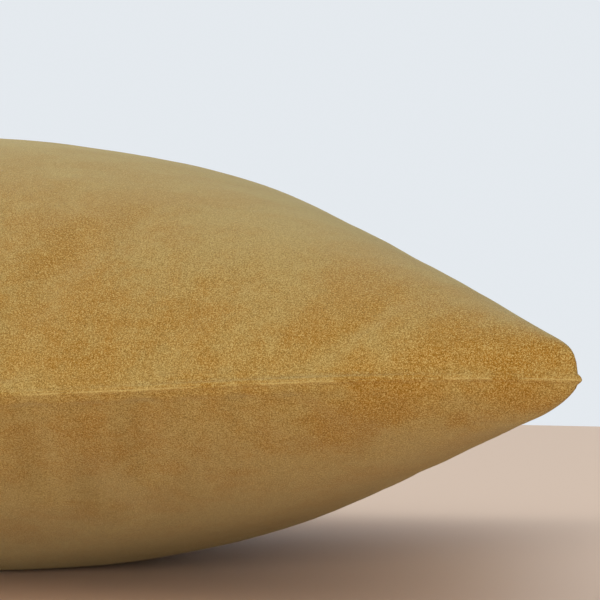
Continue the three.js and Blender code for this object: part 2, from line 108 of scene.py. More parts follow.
def plan(s, t, inset):
    """Where a place lies seen from above, with the outline moved in by the inset."""
    past_zip = smooth((abs(s) - FADE_SHARE) / (1 - FADE_SHARE))
    tuck_y = np.where(t > 0, ZIP_TUCK * (1 - past_zip), SIDE_TUCK * (1 - s * s))
    x = s * (HALF - SIDE_TUCK * (1 - t * t) * abs(s)) - inset * s ** 3
    y = t * (HALF - tuck_y * abs(t)) - inset * t ** 3
    return x, y


def seam_plane(s, t):
    """Height of the seam: level along the zip, and rising to each corner."""
    behind_zip = smooth((abs(s) - FADE_SHARE) / (RISE_END - FADE_SHARE))
    front = FRONT_LIFT * smooth(abs(s) / RISE_END)
    rise = np.where(t > 0, BACK_LIFT * behind_zip, front)
    return SEAM_Z + rise * smooth(abs(t) / RISE_END)


def dome(s, t, power, corners):
    """1 in the middle and 0 at the outline. More corners makes the corners fuller."""
    across = np.maximum(1 - abs(s) ** power, 1e-9) ** -corners
    along = np.maximum(1 - abs(t) ** power, 1e-9) ** -corners
    return (across + along - 1) ** (-FULLNESS / corners)


def on_surface(height, give=1.5 * MM):
    """Flattens the underside where it rests, with a soft edge to the flat patch."""
    return 0.5 * (height + np.sqrt(height * height + give * give)) - give * 0.05


def layer(side, s, t, inset, base, depth, shift=0):
    """A layer of the pillow: side is 1 above the seam and -1 below, depth is under the velvet,
    and shift is a movement of each point, which the surface below still stops."""
    x, y = plan(s, t, inset)
    plane = seam_plane(s, t)
    if side > 0:
        z = plane + base + (CROWN + TOUCH / 2 - depth - base) * dome(s, t, CROWN_POWER, CROWN_CORNERS)
        return np.stack([x, y, z], axis=-1) + shift
    fall = (BELLY + TOUCH / 2 - depth - base) * dome(s, t, BELLY_POWER, BELLY_CORNERS)
    points = np.stack([x, y, plane - base - fall], axis=-1) + shift
    points[..., 2] = on_surface(points[..., 2] - depth) + depth
    return points


def beside_seam(s, t, inset, height):
    """A place beside the seam: so far in from the outline, and so far above its plane."""
    x, y = plan(s, t, inset)
    return np.stack([x, y, seam_plane(s, t) + height], axis=-1)


print("crown at the middle:", layer(1, np.zeros(1), np.zeros(1), 0, 0, 0)[0].round(4))

# %% [markdown]
# ## Shells of cloth
# A cushion panel is a closed shell: an outer face, a rim that turns in at the seam, and an inner
# face. Its outer face needs a fine grid, because the light rakes across it. Its inner face is out of
# sight and has a quarter of the rows. The rows crowd together near the seam, where the shape is
# steepest. The grids are built in code, because the next step has to know which point is which.

# %% Helpers that build the shells
CROWDING = 0.72


def spread(count):
    """Stations from -1 to 1 that crowd together towards both ends."""
    even = np.linspace(-1, 1, count + 1)
    return (1 - CROWDING) * even + CROWDING * np.sin(even * math.pi / 2)


def rim_order(count):
    """Index pairs of the grid's edge, once round."""
    ahead = range(count)
    back = range(count, 0, -1)
    loop = [(i, 0) for i in ahead] + [(count, j) for j in ahead]
    return loop + [(i, count) for i in back] + [(0, j) for j in back]


def make_mesh(name, points, faces):
    mesh = bpy.data.meshes.new(name)
    mesh.from_pydata([tuple(p) for p in points], [], faces)
    mesh.validate()
    thing = bpy.data.objects.new(name, mesh)
    bpy.context.scene.collection.objects.link(thing)
    return thing


def closed_mesh(name, points, faces):
    """A closed surface, shaded smooth, with every face turned outward."""
    thing = make_mesh(name, points, faces)
    shell = bmesh.new()
    shell.from_mesh(thing.data)
    bmesh.ops.recalc_face_normals(shell, faces=shell.faces)
    if shell.calc_volume(signed=True) < 0:
        bmesh.ops.reverse_faces(shell, faces=shell.faces)
    shell.to_mesh(thing.data)
    shell.free()
    thing.data.polygons.foreach_set("use_smooth", [True] * len(thing.data.polygons))
    return thing


def station_grid(steps):
    """The s and the t of every place on a grid of stations."""
    return np.meshgrid(steps, steps, indexing="ij")


def numbered(rows, columns, start=0):
    """A grid of point numbers."""
    return start + np.arange(rows * columns).reshape(rows, columns)


def grid_faces(number, flip=False, closed=False):
    """The faces between the points of a grid. Closed joins its last column to its first."""
    if closed:
        number = np.hstack([number, number[:, :1]])
    here, ahead, far, beside = number[:-1, :-1], number[1:, :-1], number[1:, 1:], number[:-1, 1:]
    corners = (here, beside, far, ahead) if flip else (here, ahead, far, beside)
    return np.stack(corners, axis=-1).reshape(-1, 4).tolist()


def build_shell(name, fine, outer, loops, inner, thin=4):
    """A closed shell from an outer grid, loops round the rim, and a coarser inner grid."""
    steps = spread(fine)
    coarse = fine // thin
    points = [outer(*station_grid(steps)).reshape(-1, 3)]
    number = numbered(fine + 1, fine + 1)
    faces = grid_faces(number)
    order = rim_order(fine)
    ring = [int(number[place]) for place in order]
    rim_s = np.array([steps[i] for i, j in order])
    rim_t = np.array([steps[j] for i, j in order])
    start = number.size
    count = len(ring)
    for loop in loops:
        points.append(loop(rim_s, rim_t))
        following = list(range(start, start + count))
        faces += grid_faces(np.array([ring, following]), closed=True)
        ring = following
        start += count
    points.append(inner(*station_grid(steps[::thin])).reshape(-1, 3))
    number = numbered(coarse + 1, coarse + 1, start)
    faces += grid_faces(number, flip=True)
    inner_ring = [int(number[place]) for place in rim_order(coarse)]
    for k in range(len(inner_ring)):
        a = inner_ring[k]
        b = inner_ring[(k + 1) % len(inner_ring)]
        side = [ring[(k * thin + m) % count] for m in range(thin + 1)]
        for m in range(thin):
            faces.append((side[m], a if m < thin // 2 else b, side[m + 1]))
        faces.append((side[thin // 2], a, b))
    thing = closed_mesh(name, np.concatenate(points), faces)
    thing["rim_start"] = (fine + 1) ** 2
    thing["rim_count"] = count
    print(name, len(thing.data.polygons), "faces")
    return thing


# %% [markdown]
# ## Plumping the cover
# A formula alone looks like plastic. Real velvet is pressed out by the filling and held in by the
# seam, so it swells a little between its fixed edges. The whole cover is made once as a coarse closed
# form that starts slightly too slack, and Blender's Cloth blows it up with a little pressure while
# the seam is pinned. Gravity is off, because the filling carries the cloth. A cap holds back the
# points that move furthest, so the pillow keeps its size. Towards the corners the movement fades out,
# because the folded cloth inside them is stiff. What remains of the run is the movement of each grid
# point, and the fine panels borrow that movement.

# %% Cloth run on the coarse cover
SIM_CELLS = 72
PLUMP_CAP = 6 * MM
PLUMP_PRESSURE = 25.0
PLUMP_GIVE = -0.008
PLUMP_FRAMES = 20
PLUMP_SLACK = 0.957
CORNER_STIFF = 110 * MM


def coarse_cover():
    """The closed cover with one grid above the seam and one below, and their shared edge."""
    s, t = station_grid(spread(SIM_CELLS))
    above = layer(1, s, t, 0, 0, 0)
    below = layer(-1, s, t, 0, 0, 0)
    number = numbered(SIM_CELLS + 1, SIM_CELLS + 1)
    edge = np.ones_like(number, bool)
    edge[1:-1, 1:-1] = False
    under = number.copy()
    under[~edge] = number.size + np.arange((~edge).sum())
    faces = [face for pair in zip(grid_faces(number), grid_faces(under, flip=True)) for face in pair]
    return np.concatenate([above.reshape(-1, 3), below[~edge]]), faces, number, under, edge


def run_cloth(points, faces, pinned):
    thing = make_mesh("plumping", points, faces)
    pins = thing.vertex_groups.new(name="seam")
    pins.add([int(k) for k in pinned], 1.0, "REPLACE")
    cloth = thing.modifiers.new("cloth", "CLOTH")
    settings = cloth.settings
    settings.quality = 6
    settings.mass = 0.0005
    settings.tension_stiffness = 40
    settings.compression_stiffness = 40
    settings.shear_stiffness = 20
    settings.bending_stiffness = 1
    settings.shrink_min = PLUMP_GIVE
    settings.use_pressure = True
    settings.uniform_pressure_force = PLUMP_PRESSURE
    settings.vertex_group_mass = "seam"
    settings.effector_weights.gravity = 0
    cloth.collision_settings.use_collision = False
    cloth.collision_settings.use_self_collision = False
    cloth.point_cache.frame_start = 1
    cloth.point_cache.frame_end = PLUMP_FRAMES
    for number in range(1, PLUMP_FRAMES + 1):
        bpy.context.scene.frame_set(number)
    bpy.context.view_layer.objects.active = thing
    bpy.ops.object.modifier_apply(modifier=cloth.name)
    moved = np.array([v.co for v in thing.data.vertices]) - points
    bpy.data.objects.remove(thing)
    bpy.context.scene.frame_set(1)
    return moved


def plumping():
    """How far each grid point above and below the seam moves, as two grids of vectors."""
    points, faces, number, under, edge = coarse_cover()
    slack = points.copy()
    slack[:, 2] = SEAM_Z + (points[:, 2] - SEAM_Z) * PLUMP_SLACK
    moved = np.zeros_like(points)
    moved = run_cloth(slack, faces, number[edge])
    reach = np.linalg.norm(moved, axis=1)
    print(f"cloth moved up to {reach.max() / MM:.1f} mm, middling {np.median(reach) / MM:.1f} mm")
    moved /= np.sqrt(1 + (reach / PLUMP_CAP) ** 2)[:, None]
    moved += slack - points
    s, t = station_grid(spread(SIM_CELLS))
    free = smooth(np.hypot(1 - abs(s), 1 - abs(t)) * HALF / CORNER_STIFF)[..., None]
    return moved[number] * free, moved[under] * free


bpy.ops.object.select_all(action="DESELECT")
plump_above, plump_below = plumping()

# %% [markdown]
# ## The velvet panels
# Each panel is one square of velvet. At the seam its edge turns in: it rolls over a small round
# shoulder, lies level beside the other panel's edge for the width of the seam allowance, and ends
# raw inside. Along the zip the two rolled edges stand a little apart, and behind them the allowance
# steps away to leave a chamber for the zip. The outer face takes the cloth run's movement, and slow
# unevenness of up to a millimetre from the filling behind it. Folded cloth fills out the two front
# corners, and a small knot of it shows at each tip.

# %% Velvet panels
VELVET_CELLS = 240
VELVET_WALL = 1.8 * MM
ALLOWANCE = 12 * MM
ALLOWANCE_WALL = 1.2 * MM
SHOULDER_DEPTH = 1.2 * MM
SHOULDER_RISE = 1.6 * MM
FOLD_RISE = 0.9 * MM
FOLD_DEPTH = 0.6 * MM
PILE_TOUCH = 0.01 * MM
LIP = 2 * MM
LIP_STEP = 1.8 * MM
VELVET_ROOM = 0.8 * MM
SEAM_THICKNESS = 3.5 * MM
ZIP_THICKNESS = 8.5 * MM
ZIP_SLIT = 1.6 * MM
ZIP_CHAMBER = 3.2 * MM
ROLL_STEPS = 9
PUFF_ABOVE = (6.0 * MM, 30 * MM, 0.9 * MM)
PUFF_BELOW = (4.2 * MM, 70 * MM, 8 * MM)
NUB = 0.25 * MM
NUB_REACH = 4 * MM
SWELL_FADE = 0.12
BACK_EDGE = 0.999
SWELLS = ((70 * MM, 0.8 * MM), (22 * MM, 0.25 * MM), (2.6 * MM, 0.07 * MM))


def zip_share(s, t, reach=8):
    """1 on the zip's length of the back side, fading to 0 past its ends and away from the side."""
    along = 1 - smooth((abs(s) - ZIP_SHARE) / (FADE_SHARE - ZIP_SHARE))
    return along * np.maximum(t, 0) ** reach


def on_back(s, t):
    return np.where(t > BACK_EDGE, zip_share(s, t), 0)


def borrowed(grid, s, t):
    """The cloth run's movement at a place, read between the points of its coarser grid."""
    steps = spread(SIM_CELLS)
    u = np.interp(s, steps, np.arange(SIM_CELLS + 1))
    v = np.interp(t, steps, np.arange(SIM_CELLS + 1))
    i = np.clip(u.astype(int), 0, SIM_CELLS - 1)
    j = np.clip(v.astype(int), 0, SIM_CELLS - 1)
    a = (u - i)[..., None]
    b = (v - j)[..., None]
    near = grid[i, j] * (1 - b) + grid[i, j + 1] * b
    far = grid[i + 1, j] * (1 - b) + grid[i + 1, j + 1] * b
    return near * (1 - a) + far * a


def swelling(points, seed, fade):
    """Slow unevenness of a stuffed face, as a height for each point, faded out at the seam."""
    total = np.zeros(points.shape[:-1])
    for size, amount in SWELLS:
        flat = [noise.noise(Vector(p) / size + Vector((seed, 0, 0))) for p in points.reshape(-1, 3)]
        total += np.array(flat).reshape(total.shape) * amount
    return total * fade


def corner_puff(s, t, amount, reach, edge):
    """The layers of cloth folded up inside a front corner fill it out and round off its tip."""
    x, y = plan(s, t, 0)
    from_tip = np.hypot(HALF - abs(x), HALF + y)
    from_edge = np.minimum(1 - abs(s), 1 - abs(t)) * HALF
    return amount * np.exp(-from_tip / reach) * (1 - np.exp(-from_edge / edge))


def nub(s, t):
    """The knot of cloth that shows at the tip of a turned front corner."""
    from_tip = np.hypot(1 - abs(s), 1 + t) * HALF
    return NUB * np.exp(-(from_tip / NUB_REACH) ** 2)


def uneven(s, t):
    """How deep the seam's stitches pull at each place round the outline, from 0 to 1."""
    return 0.5 + 0.25 * np.sin(61 * s + 67 * t) + 0.25 * np.sin(143 * s - 131 * t + 1.3)


def velvet_panel(name, side, plump, seed):
    def lip(s, t):
        return PILE_TOUCH + (ZIP_SLIT / 2 - PILE_TOUCH) * on_back(s, t)

    def turned(s, t):
        return TOUCH / 2 + (ZIP_CHAMBER - TOUCH / 2) * on_back(s, t)

    def thickness(s, t):
        return SEAM_THICKNESS + (ZIP_THICKNESS - SEAM_THICKNESS) * zip_share(s, t)

    def outer(s, t):
        base = PILE_TOUCH + (ZIP_SLIT / 2 - PILE_TOUCH) * zip_share(s, t) + SHOULDER_RISE
        shift = borrowed(plump, s, t)
        inside = np.minimum(1 - abs(s), 1 - abs(t))
        still = layer(side, s, t, SHOULDER_DEPTH, base, 0)
        shift[..., 2] += side * swelling(still, seed, smooth(inside / SWELL_FADE))
        shift[..., 2] += side * corner_puff(s, t, *(PUFF_ABOVE if side > 0 else PUFF_BELOW))
        return layer(side, s, t, SHOULDER_DEPTH, base, 0, shift)

    def inner(s, t):
        stack = ALLOWANCE_WALL + VELVET_ROOM
        base = TOUCH / 2 + stack + (ZIP_CHAMBER - TOUCH / 2) * zip_share(s, t)
        return layer(side, s, t, thickness(s, t), base, VELVET_WALL, borrowed(plump, s, t))

    def loop(depth, height):
        return lambda s, t: beside_seam(s, t, depth(s, t), side * height(s, t))

    def rolled(depth, rise, tuck_in=0):
        share = 1 if side < 0 else 0.4
        drop = math.sqrt(1 - (rise / SHOULDER_RISE) ** 2)
        return loop(
            lambda s, t: depth + tuck_in * uneven(s, t) - share * drop * nub(s, t),
            lambda s, t: lip(s, t) + rise,
        )

    loops = []
    for k in range(1, ROLL_STEPS + 1):
        rise = SHOULDER_RISE * (1 - k / ROLL_STEPS) ** 1.6
        tuck_in = FOLD_DEPTH * max(0, 1 - rise / FOLD_RISE) ** 2
        loops.append(rolled(SHOULDER_DEPTH * (rise / SHOULDER_RISE) ** 1.3, rise, tuck_in))
    loops.append(rolled(LIP, 0))
    loops.append(loop(lambda s, t: LIP + LIP_STEP, turned))
    loops.append(loop(lambda s, t: ALLOWANCE, turned))
    loops.append(loop(lambda s, t: ALLOWANCE, lambda s, t: turned(s, t) + ALLOWANCE_WALL))
    loops.append(loop(thickness, lambda s, t: turned(s, t) + ALLOWANCE_WALL))
    return build_shell(name, VELVET_CELLS, outer, loops, inner)


def paint_lip_highlight(panel, amount):
    """Writes how strong the painted highlight is on each loop of the rolled edge, for the finish to read."""
    lip_highlight_share = np.zeros(len(panel.data.vertices), np.float32)
    start = panel["rim_start"]
    count = panel["rim_count"]
    for k in range(ROLL_STEPS):
        share = ((k + 1) / ROLL_STEPS) ** 2
        lip_highlight_share[start + k * count:start + (k + 1) * count] = amount * share
    attribute = panel.data.attributes.new("painted_lip_highlight", "FLOAT", "POINT")
    attribute.data.foreach_set("value", lip_highlight_share)


velvet_top = velvet_panel("velvet_top", 1, plump_above, 3.0)
velvet_bottom = velvet_panel("velvet_bottom", -1, plump_below, 8.0)
# The lower panel's lip faces up to the light, so it gets the full painted highlight, and the upper panel a
# quarter of it.
paint_lip_highlight(velvet_top, 0.25)
paint_lip_highlight(velvet_bottom, 1.0)

# %% [markdown]
# ## Tools for the finishes
# Several finishes need the same effects: the fine grain of fibre ends, the slow patches where cloth
# has been brushed one way or the other, and the crossing threads of a weave. Each effect is a node
# group with named inputs and outputs, built once and placed in each material with its own values.
# A group gives out only masks and heights. The shader itself stays in the material.

# %% Helpers for node groups and materials
def feed(tree, socket, value):
    """Sets an input to a number or a colour, or links another node's output to it."""
    if isinstance(value, bpy.types.NodeSocket):
        tree.links.new(value, socket)
    else:
        socket.default_value = (*value, 1) if socket.type == "RGBA" else value


def feed_all(tree, node, **values):
    """Feeds several inputs of a node. An underscore stands for a space in an input's name."""
    for label, value in values.items():
        feed(tree, node.inputs[label.replace("_", " ")], value)


def new_node(tree, kind, **values):
    node = tree.nodes.new("ShaderNode" + kind)
    feed_all(tree, node, **values)
    return node


def new_group(name, numbers, masks):
    """An empty node group that takes a place and some numbers and gives out masks."""
    group = bpy.data.node_groups.new(name, "ShaderNodeTree")
    group.interface.new_socket(name="Vector", in_out="INPUT", socket_type="NodeSocketVector")
    for label, value in numbers.items():
        socket = group.interface.new_socket(name=label, in_out="INPUT", socket_type="NodeSocketFloat")
        socket.default_value = value
    for label in masks:
        group.interface.new_socket(name=label, in_out="OUTPUT", socket_type="NodeSocketFloat")
    return group, group.nodes.new("NodeGroupInput").outputs, group.nodes.new("NodeGroupOutput")


def math_node(tree, operation, *values):
    """A math step. Each input is a number or another node's output."""
    node = tree.nodes.new("ShaderNodeMath")
    node.operation = operation
    for socket, value in zip(node.inputs, values):
        feed(tree, socket, value)
    return node.outputs[0]


def noise_node(tree, vector, scale, detail, roughness):
    node = new_node(tree, "TexNoise", Vector=vector, Scale=scale, Detail=detail, Roughness=roughness)
    return node.outputs["Fac"]


def ramp_node(tree, value, low, high):
    """Stretches a mask between two values to the whole range from 0 to 1."""
    node = new_node(tree, "MapRange", Value=value, From_Min=low, From_Max=high)
    node.interpolation_type = "SMOOTHSTEP"
    return node.outputs["Result"]


def mix_colours(tree, share, first, second):
    node = tree.nodes.new("ShaderNodeMix")
    node.data_type = "RGBA"
    feed_all(tree, node, Factor=share, A=first, B=second)
    return node.outputs["Result"]


def stored(tree, name):
    """What a mesh keeps for each of its points under a name."""
    node = tree.nodes.new("ShaderNodeAttribute")
    node.attribute_name = name
    return node.outputs


def place_group(tree, group, **values):
    node = tree.nodes.new("ShaderNodeGroup")
    node.node_tree = group
    feed_all(tree, node, **values)
    return node.outputs


def new_material(name, roughness, metallic=0.0):
    material = bpy.data.materials.new(name)
    material.use_nodes = True
    tree = material.node_tree
    shader = tree.nodes["Principled BSDF"]
    feed_all(tree, shader, Roughness=roughness, Metallic=metallic)
    return material, tree, shader, tree.nodes.new("ShaderNodeTexCoord").outputs["Object"]


def raise_surface(tree, shader, height, distance, strength=1.0):
    """Lets a height mask tilt the shading, as a relief of the given depth in metres."""
    bump = new_node(tree, "Bump", Height=height, Distance=distance, Strength=strength)
    feed_all(tree, shader, Normal=bump.outputs["Normal"])


# %% [markdown]
# The grain of a cut pile is made of fibre ends less than a millimetre wide. Two sizes of noise are
# added, because one size alone looks like a pattern. The brushed patches are slow noise whose
# coordinates are themselves pushed about by another noise, so that their edges wander the way pile
# does after a hand has been drawn over it.

# %% Fibre grain and brushed patches
def fibre_grain_group():
    group, given, leave = new_group("fibre_grain", {"Scale": 1000.0}, ["Grain", "Height"])
    finer = math_node(group, "MULTIPLY", given["Scale"], 2.1)
    broad = noise_node(group, given["Vector"], given["Scale"], 2.0, 0.7)
    fine = noise_node(group, given["Vector"], finer, 2.0, 0.7)
    both = math_node(group, "MULTIPLY_ADD", fine, 0.55, math_node(group, "MULTIPLY", broad, 0.45))
    feed_all(group, leave, Grain=ramp_node(group, both, 0.36, 0.64), Height=both)
    return group


def brushed_patches_group():
    numbers = {"Scale": 12.0, "Wander": 0.02, "Sharpness": 2.0}
    group, given, leave = new_group("brushed_patches", numbers, ["Mask"])
    push = new_node(group, "TexNoise", Vector=given["Vector"], Scale=40.0, Detail=3.0)
    scaled = group.nodes.new("ShaderNodeVectorMath")
    scaled.operation = "SCALE"
    feed(group, scaled.inputs[0], push.outputs["Color"])
    feed(group, scaled.inputs["Scale"], given["Wander"])
    moved = group.nodes.new("ShaderNodeVectorMath")
    moved.operation = "ADD"
    feed(group, moved.inputs[0], given["Vector"])
    feed(group, moved.inputs[1], scaled.outputs[0])
    slow = noise_node(group, moved.outputs[0], given["Scale"], 3.0, 0.5)
    centred = math_node(group, "MULTIPLY_ADD", slow, given["Sharpness"], 0.5)
    offset = math_node(group, "MULTIPLY", given["Sharpness"], 0.5)
    mask = math_node(group, "SUBTRACT", centred, offset)
    feed_all(group, leave, Mask=ramp_node(group, mask, 0.0, 1.0))
    return group


fibre_grain = fibre_grain_group()
brushed_patches = brushed_patches_group()
print("node groups:", [group.name for group in bpy.data.node_groups])

# %% [markdown]
# ## Velvet
# Velvet looks pale where the pile lies away from the eye and deep where one looks into it. Patches of
# two mustard tones come first, in three sizes, and then a grain of paler fibre ends and specks of
# painted shade for the hollows between them. Along the rolled edge beside the seam a painted highlight
# lies in broken lengths, strongest on the lower panel, whose lip faces up to the light. Towards its
# outline the colour is painted paler, as a painted sheen, and the shader's own sheen lights it there as
# standing pile catches light from behind. There is almost no gloss.

# %% Velvet material
PILE_DEEP = (0.295, 0.132, 0.012)
PILE_KHAKI = (0.330, 0.206, 0.055)
# Paler fibre ends in the grain, and also the colour of the painted highlight on the rolled edge.
PALE_FLECK_AND_HIGHLIGHT = (0.540, 0.390, 0.140)
# Painted shade for the hollows of the pile.
PILE_SHADE = (0.130, 0.062, 0.008)
# Colour of the painted sheen towards the outline.
PAINTED_RIM_SHEEN = (0.570, 0.460, 0.230)
GRAIN_SCALE = 1900.0


def velvet_material():
    material, tree, shader, place = new_material("mustard_velvet", 0.95)
    wide = place_group(tree, brushed_patches, Vector=place, Scale=11.0, Wander=0.03, Sharpness=3.2)
    small = place_group(tree, brushed_patches, Vector=place, Scale=42.0, Wander=0.012, Sharpness=3.6)
    tufts = place_group(tree, brushed_patches, Vector=place, Scale=190.0, Wander=0.003, Sharpness=3.0)
    grain = place_group(tree, fibre_grain, Vector=place, Scale=GRAIN_SCALE)
    share = math_node(tree, "MULTIPLY", wide[0], 0.4)
    share = math_node(tree, "MULTIPLY_ADD", small[0], 0.36, share)
    share = math_node(tree, "MULTIPLY_ADD", tufts[0], 0.24, share)
    share = ramp_node(tree, share, 0.12, 0.88)
    colour = mix_colours(tree, share, PILE_DEEP, PILE_KHAKI)
    ends = grain["Grain"]
    flecks = math_node(tree, "MULTIPLY", ramp_node(tree, ends, 0.45, 1.0), 0.8)
    colour = mix_colours(tree, flecks, colour, PALE_FLECK_AND_HIGHLIGHT)
    # Painted shade: dark specks in the grain, for the hollows between fibre ends.
    hollow_shade = math_node(tree, "MULTIPLY", ramp_node(tree, ends, 0.5, 0.0), 0.75)
    colour = mix_colours(tree, hollow_shade, colour, PILE_SHADE)
    # Painted highlight: the colour turns pale in broken lengths along the rolled edge, where the lip catches
    # the light.
    lip_highlight_breaks = math_node(tree, "MULTIPLY", ramp_node(tree, small[0], 0.35, 0.75), 0.7)
    lip_highlight_breaks = math_node(tree, "MULTIPLY_ADD", ramp_node(tree, ends, 0.4, 0.8), 0.3, lip_highlight_breaks)
    lip_highlight = math_node(tree, "MULTIPLY", stored(tree, "painted_lip_highlight")["Fac"], lip_highlight_breaks)
    colour = mix_colours(tree, lip_highlight, colour, PALE_FLECK_AND_HIGHLIGHT)
    # Painted sheen: the colour turns paler where the surface turns away from the camera.
    facing = new_node(tree, "LayerWeight", Blend=0.35).outputs["Facing"]
    rim = math_node(tree, "MULTIPLY", math_node(tree, "POWER", facing, 2.5), 0.75)
    colour = mix_colours(tree, rim, colour, PAINTED_RIM_SHEEN)
    raise_surface(tree, shader, grain["Height"], 0.6 * MM, 0.8)
    feed_all(tree, shader, Base_Color=colour, Specular_IOR_Level=0.1)
    feed_all(tree, shader, Sheen_Weight=0.25, Sheen_Roughness=0.35, Sheen_Tint=(0.95, 0.82, 0.45))
    return material


mustard_velvet = velvet_material()
for panel in (velvet_top, velvet_bottom):
    panel.data.materials.append(mustard_velvet)
    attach(panel, "cushion")
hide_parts("cover_top_panel")
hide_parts("cover_bottom_panel")

# %% [markdown]
# ## The insert
# The insert is a bag of plain cotton, a little smaller than the cover, sewn and overlocked on all
# four sides and stuffed with fibre. It is made with the same shell helper as the velvet. It borrows
# the cloth run's movement too, read at the place of the cover that it lies under, so it stays close
# inside the cover without touching it.

# %% Cotton panels and filling
INSERT_CELLS = 96
CASING_EDGE = 15.9 * MM
CASING_ALLOWANCE = 8 * MM
CASING_WALL = 0.6 * MM
CASING_FIT = 0.4 * MM
CASING_SHOULDER = 0.6 * MM
CASING_RISE = 1.9 * MM
CASING_ROOM = 0.6 * MM
CASING_SEAM = 3 * MM
CASING_STACK = TOUCH / 2 + CASING_WALL
COVER_STACK = TOUCH / 2 + ALLOWANCE_WALL
CASING_DEPTH = VELVET_WALL + CASING_FIT
FILL_DEPTH = CASING_DEPTH + CASING_WALL + TOUCH
FILL_EDGE = CASING_EDGE + CASING_ALLOWANCE + 1.4 * MM
FILL_RIM = 0.4 * MM
FILL_FADE = 0.1
FILL_LUMPS = ((26 * MM, 1.2 * MM), (9 * MM, 0.5 * MM))


def inside_cover(plump, s, t, inset):
    share = 1 - inset / HALF
    return borrowed(plump, s * share, t * share)


def casing_panel(name, side, plump):
    def outer(s, t):
        shift = inside_cover(plump, s, t, CASING_EDGE)
        inset = CASING_EDGE + CASING_SHOULDER
        return layer(side, s, t, inset, TOUCH / 2 + CASING_RISE, CASING_DEPTH, shift)

    def inner(s, t):
        shift = inside_cover(plump, s, t, CASING_EDGE)
        start = CASING_EDGE + CASING_SEAM
        return layer(side, s, t, start, CASING_STACK + CASING_ROOM, CASING_DEPTH + CASING_WALL, shift)

    def loop(depth, height):
        return lambda s, t: beside_seam(s, t, depth, side * height)

    turned = CASING_EDGE + CASING_ALLOWANCE
    loops = [loop(CASING_EDGE, 0.6 * CASING_RISE), loop(CASING_EDGE, TOUCH / 2)]
    loops += [loop(turned, TOUCH / 2), loop(turned, CASING_STACK)]
    loops.append(loop(CASING_EDGE + CASING_SEAM, CASING_STACK))
    return build_shell(name, INSERT_CELLS, outer, loops, inner)


def lumpy_fill():
    def face(side, plump):
        def points(s, t):
            shift = inside_cover(plump, s, t, FILL_EDGE)
            still = layer(side, s, t, FILL_EDGE, FILL_RIM, FILL_DEPTH)
            inside = smooth(np.minimum(1 - abs(s), 1 - abs(t)) / FILL_FADE)
            for size, amount in FILL_LUMPS:
                flat = [0.5 + 0.5 * noise.noise(Vector(p) / size) for p in still.reshape(-1, 3)]
                shift[..., 2] -= side * amount * inside * np.array(flat).reshape(s.shape)
            return layer(side, s, t, FILL_EDGE, FILL_RIM, FILL_DEPTH, shift)
        return points

    return build_shell("fibre_filling", INSERT_CELLS, face(1, plump_above), [], face(-1, plump_below), 2)


cotton_top = casing_panel("cotton_top", 1, plump_above)
cotton_bottom = casing_panel("cotton_bottom", -1, plump_below)
filling = lumpy_fill()

# %% [markdown]
# ## Overlocked edges
# The raw edges inside a seam are overlocked: one thread runs back and forth round the two edges and
# stops them fraying, and a straight line of thread holds the loops. Both are cords, so they are made
# in code. A round section is carried along a path of points without twisting. Near the corners the
# allowances are clipped, so the thread stops short of them, as it does in the frame.

# %% Overlocked edges
THREAD_RADIUS = 0.25 * MM
THREAD_REST = 0.05 * MM
THREAD_SIDES = 5
OVERLOCK_PITCH = 2.6 * MM
COVER_BITE = 3 * MM
CASING_BITE = 2 * MM
LINE_SINK = 0.3 * MM
TURN_ROOM = 0.2 * MM
LINE_STATIONS = 40
SIDE_STATIONS = 2001


def cord_rings(path):
    """Rings of points round a path, carried along it so that they never twist."""
    ahead = np.gradient(path, axis=0)
    ahead /= np.linalg.norm(ahead, axis=1)[:, None]
    up = np.cross(ahead[0], (0.31, 0.52, 0.79))
    rings = []
    for here, way in zip(path, ahead):
        up = up - way * np.dot(up, way)
        up /= np.linalg.norm(up)
        beside = np.cross(way, up)
        for k in range(THREAD_SIDES):
            turn = 2 * math.pi * k / THREAD_SIDES
            rings.append(here + THREAD_RADIUS * (math.cos(turn) * up + math.sin(turn) * beside))
    return rings


def cord(name, paths):
    """One object from several closed, round threads."""
    points = []
    faces = []
    for path in paths:
        number = numbered(len(path), THREAD_SIDES, len(points))
        points += cord_rings(path)
        faces += grid_faces(number, flip=True, closed=True)
        faces += [number[0, ::-1].tolist(), number[-1].tolist()]
    return closed_mesh(name, points, faces)


def on_side(side, along):
    edge = np.ones_like(along)
    places = {"front": (along, -edge), "back": (along, edge), "left": (-edge, along)}
    places["right"] = (edge, along)
    return places[side]


def overlocked(name, side, start, end, edge, stack, bite):
    """A thread that runs back and forth round the raw edges, and the straight line that holds it."""
    height = stack + THREAD_REST + THREAD_RADIUS
    web = edge + THREAD_REST + THREAD_RADIUS
    turns = max(2, round((end - start) * HALF / OVERLOCK_PITCH))
    inner = edge - bite
    middle = edge - bite / 2
    turn_in = web - TURN_ROOM
    lap = [(0.0, inner, 1.0), (0.1, middle, 1.0), (0.22, turn_in, 1.0)]
    lap += [(0.25, web, 0.6), (0.25, web, -0.6), (0.28, turn_in, -1.0)]
    lap += [(0.4, middle, -1.0), (0.5, inner, -1.0), (0.6, middle, -1.0)]
    lap += [(0.72, turn_in, -1.0), (0.75, web, -0.6), (0.75, web, 0.6)]
    lap += [(0.78, turn_in, 1.0), (0.9, middle, 1.0)]
    steps = np.array([(turn + a, depth, level) for turn in range(turns) for a, depth, level in lap])
    along = start + (end - start) * steps[:, 0] / turns
    loops = beside_seam(*on_side(side, along), steps[:, 1], steps[:, 2] * height)
    along = np.linspace(start, end, LINE_STATIONS)
    line_height = height + THREAD_RADIUS + LINE_SINK / 2
    straight = beside_seam(*on_side(side, along), edge - bite + THREAD_RADIUS, line_height)
    return cord(name, [loops, straight])


